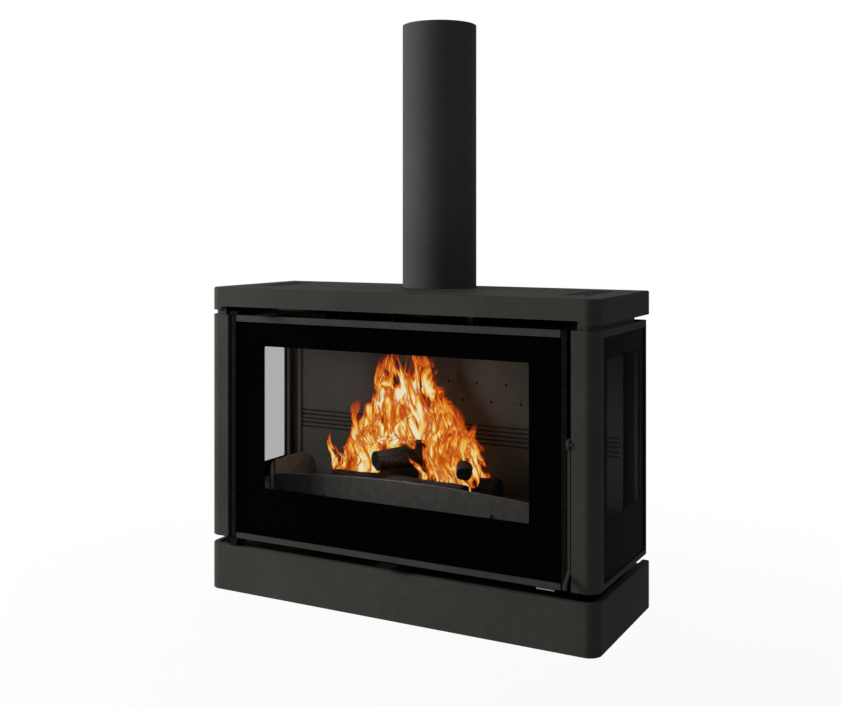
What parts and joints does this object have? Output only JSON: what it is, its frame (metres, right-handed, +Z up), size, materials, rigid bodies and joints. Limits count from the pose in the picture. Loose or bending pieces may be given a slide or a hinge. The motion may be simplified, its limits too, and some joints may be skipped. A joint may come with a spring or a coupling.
{
  "type": "wall-hung wood fireplace",
  "caption": "Wall-hung wood fireplace with a glazed hinged door, glazed sides, plinth, vented cap and a round flue pipe on top.",
  "frame": {"origin": "middle of the wall plate's back face, on the wall", "axes": "+X along the wall to the right seen from the front, +Y into the wall, +Z up; the door faces -Y"},
  "size_m": [1.1, 0.432, 1.52],
  "materials": {
    "anthracite_paint": "matt anthracite stove paint, fine grain",
    "black_steel": "matt black heat-resistant paint",
    "bright_steel": "brushed",
    "cast_iron": "raw casting, sooted",
    "refractory_board": "pressed mineral board, smoked",
    "black_edged_glass": "clear ceramic glass with a printed black border",
    "sealing_rope": "woven glass rope",
    "firewood": "charred bark"
  },
  "bodies": {
    "stove": {"plinth_shell": "anthracite_paint", "cap_shell": "anthracite_paint", "casing_side_left": "anthracite_paint", "casing_side_right": "anthracite_paint", "flue_pipe": "anthracite_paint", "plinth_deck": "black_steel", "plinth_floor": "black_steel", "rear_panel": "black_steel", "front_post_left": "black_steel", "front_post_right": "black_steel", "cap_spacer_left": "black_steel", "cap_spacer_middle": "black_steel", "cap_spacer_right": "black_steel", "firebox_base": "black_steel", "firebox_body": "black_steel", "ash_pan": "black_steel", "hanger_rail": "black_steel", "wall_buffer_left": "black_steel", "wall_buffer_right": "black_steel", "air_inlet_pipe": "black_steel", "hinge_bracket_low": "black_steel", "hinge_bracket_top": "black_steel", "primary_air_guide": "black_steel", "secondary_air_guide": "black_steel", "wall_plate": "bright_steel", "wall_bolt_1": "bright_steel", "wall_bolt_2": "bright_steel", "wall_bolt_3": "bright_steel", "wall_bolt_4": "bright_steel", "hinge_pin_low": "bright_steel", "hinge_pin_top": "bright_steel", "latch_keeper": "bright_steel", "door_rest": "bright_steel", "hearth_plate": "cast_iron", "grate": "cast_iron", "side_guard_left": "cast_iron", "side_guard_right": "cast_iron", "flue_collar": "cast_iron", "liner_back": "refractory_board", "liner_corner_left": "refractory_board", "liner_corner_right": "refractory_board", "baffle_plate": "refractory_board", "side_glass_left": "black_edged_glass", "side_glass_right": "black_edged_glass", "side_seal_left": "sealing_rope", "side_seal_right": "sealing_rope", "log_bed_front": "firewood", "log_bed_back": "firewood", "log_top_left": "firewood", "log_top_right": "firewood"},
    "door": {"door_frame": "black_steel", "door_rope": "sealing_rope", "door_glass": "black_edged_glass", "door_trim_top": "anthracite_paint", "door_trim_low": "anthracite_paint", "handle_pin": "bright_steel"},
    "handle": {"handle_lever": "anthracite_paint"},
    "primary_air": {"primary_air_slide": "black_steel"},
    "secondary_air": {"secondary_air_slide": "black_steel"},
    "guard": {"front_guard": "cast_iron"}
  },
  "joints": [
    {"name": "door_hinge", "type": "hinge", "parent": "stove", "child": "door", "pos_m": [-0.46975, -0.397, -0.058], "axis": [0, 0, -1], "range_deg": [0, 110]},
    {"name": "handle_turn", "type": "hinge", "parent": "door", "child": "handle", "pos_m": [0.4803, -0.397, -0.021], "axis": [-1, 0, 0], "range_deg": [0, 40]},
    {"name": "primary_air", "type": "slide", "parent": "stove", "child": "primary_air", "axis": [1, 0, 0], "range_m": [-0.04, 0.04]},
    {"name": "secondary_air", "type": "slide", "parent": "stove", "child": "secondary_air", "axis": [1, 0, 0], "range_m": [-0.04, 0.04]},
    {"name": "guard_lift", "type": "slide", "parent": "stove", "child": "guard", "axis": [0, 0, 1], "range_m": [0, 0.06]}
  ]
}
